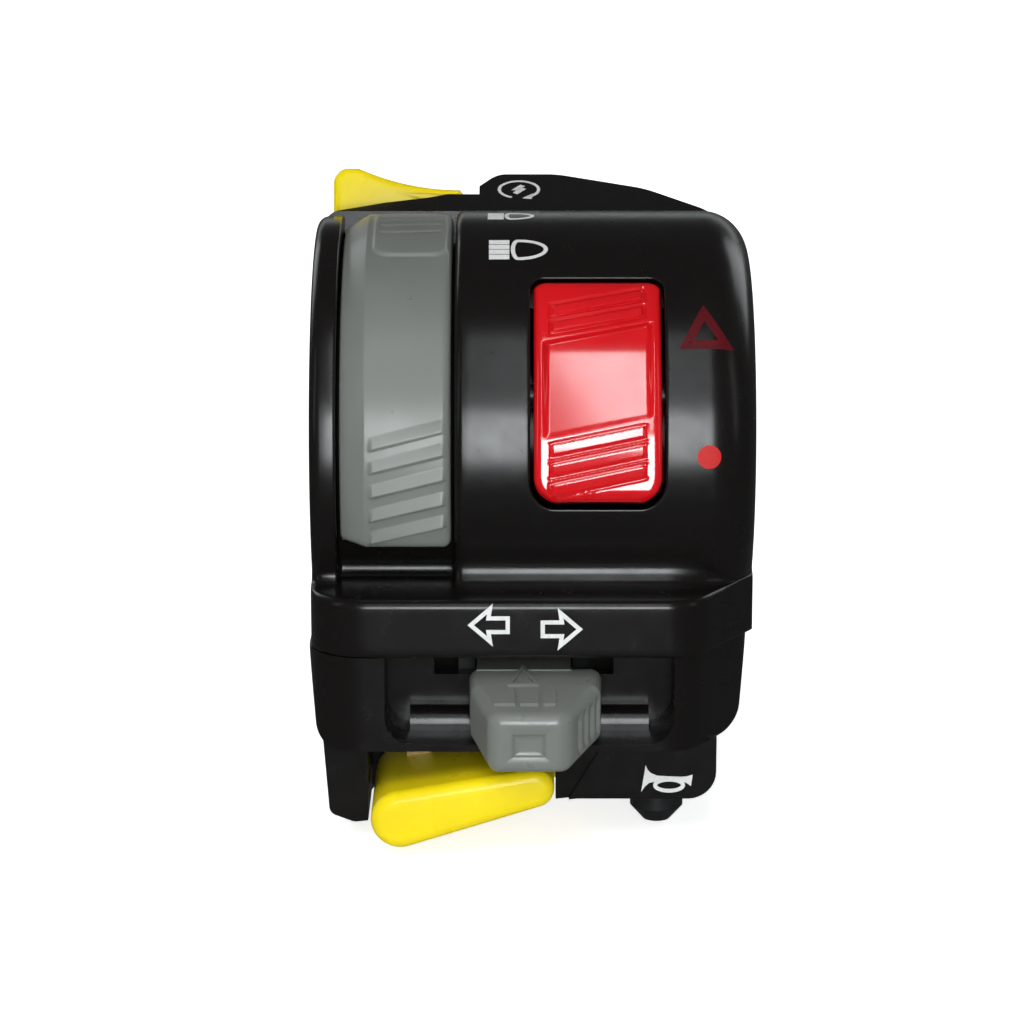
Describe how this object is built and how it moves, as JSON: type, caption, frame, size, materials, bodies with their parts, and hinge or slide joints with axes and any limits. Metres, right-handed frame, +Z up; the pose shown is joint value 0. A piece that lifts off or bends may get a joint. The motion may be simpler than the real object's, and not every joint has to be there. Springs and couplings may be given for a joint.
{
  "type": "handlebar switch cluster",
  "caption": "Split-clamp handlebar switch cluster with a light rocker, kill rocker, sliding turn-signal knob and sprung horn and starter paddles.",
  "frame": {"origin": "On the handlebar's axis, half way along the housing.", "axes": "+X along the handlebar towards its inboard end (right in the picture), +Y away from the rider, +Z up."},
  "size_m": [0.0472, 0.0586, 0.0667],
  "materials": {
    "housing_black": "satin moulded",
    "control_grey": "satin moulded",
    "control_red": "glossy",
    "control_yellow": "glossy",
    "contact_brass": "stamped",
    "pin_steel": "ground",
    "spring_steel": "drawn wire",
    "carriage_black": "moulded",
    "board": "laminate",
    "screw_steel": "zinc plated",
    "screw_black": "black oxide",
    "grommet_rubber": "moulded rubber"
  },
  "bodies": {
    "housing": {"front_housing": "housing_black", "rear_housing": "housing_black", "lower_housing": "housing_black", "light_contact_plate": "contact_brass", "kill_pin": "screw_black", "kill_contact_plate": "contact_brass", "turn_board": "board", "horn_pin": "pin_steel", "horn_spring": "spring_steel", "horn_fixed_contact": "contact_brass", "starter_pin": "pin_steel", "starter_spring": "spring_steel", "starter_fixed_contact": "contact_brass", "clamp_screws": "screw_steel", "lower_screws": "screw_black", "cable_grommet": "grommet_rubber"},
    "light": {"light_rocker": "control_grey", "light_wiper": "contact_brass"},
    "kill": {"kill_rocker": "control_red", "kill_wiper": "contact_brass"},
    "turn": {"turn_carriage": "carriage_black", "turn_wiper": "contact_brass", "turn_detent_ball": "pin_steel", "turn_detent_spring": "spring_steel", "turn_spring": "spring_steel"},
    "knob": {"turn_knob": "control_grey"},
    "horn": {"horn_button": "control_yellow", "horn_moving_contact": "contact_brass"},
    "starter": {"starter_button": "control_yellow", "starter_moving_contact": "contact_brass"}
  },
  "joints": [
    {"name": "light_swing", "type": "hinge", "parent": "housing", "child": "light", "pos_m": [0, 0, 0], "axis": [1, 0, 0], "range_deg": [0, 8]},
    {"name": "kill_rock", "type": "hinge", "parent": "housing", "child": "kill", "pos_m": [0.0067, -0.01786, 0.00758], "axis": [1, 0, 0], "range_deg": [0, 9]},
    {"name": "turn_slide", "type": "slide", "parent": "housing", "child": "turn", "axis": [1, 0, 0], "range_m": [-0.004, 0.004]},
    {"name": "knob_press", "type": "slide", "parent": "turn", "child": "knob", "axis": [0, 1, 0], "range_m": [0, 0.0015], "stiffness_N_per_m": 800, "springref_m": -0.002, "deforming": ["turn_spring"]},
    {"name": "horn_press", "type": "hinge", "parent": "housing", "child": "horn", "pos_m": [0.0047, -0.018, -0.03181], "axis": [0, 1, 0], "range_deg": [0, 5], "stiffness_Nm_per_rad": 0.3, "springref_deg": -5.73, "deforming": ["horn_spring"]},
    {"name": "starter_press", "type": "hinge", "parent": "housing", "child": "starter", "pos_m": [-0.0032, 0.0151, 0.01922], "axis": [0, -0.9703, 0.2419], "range_deg": [0, 5], "stiffness_Nm_per_rad": 0.3, "springref_deg": -5.73, "deforming": ["starter_spring"]}
  ]
}
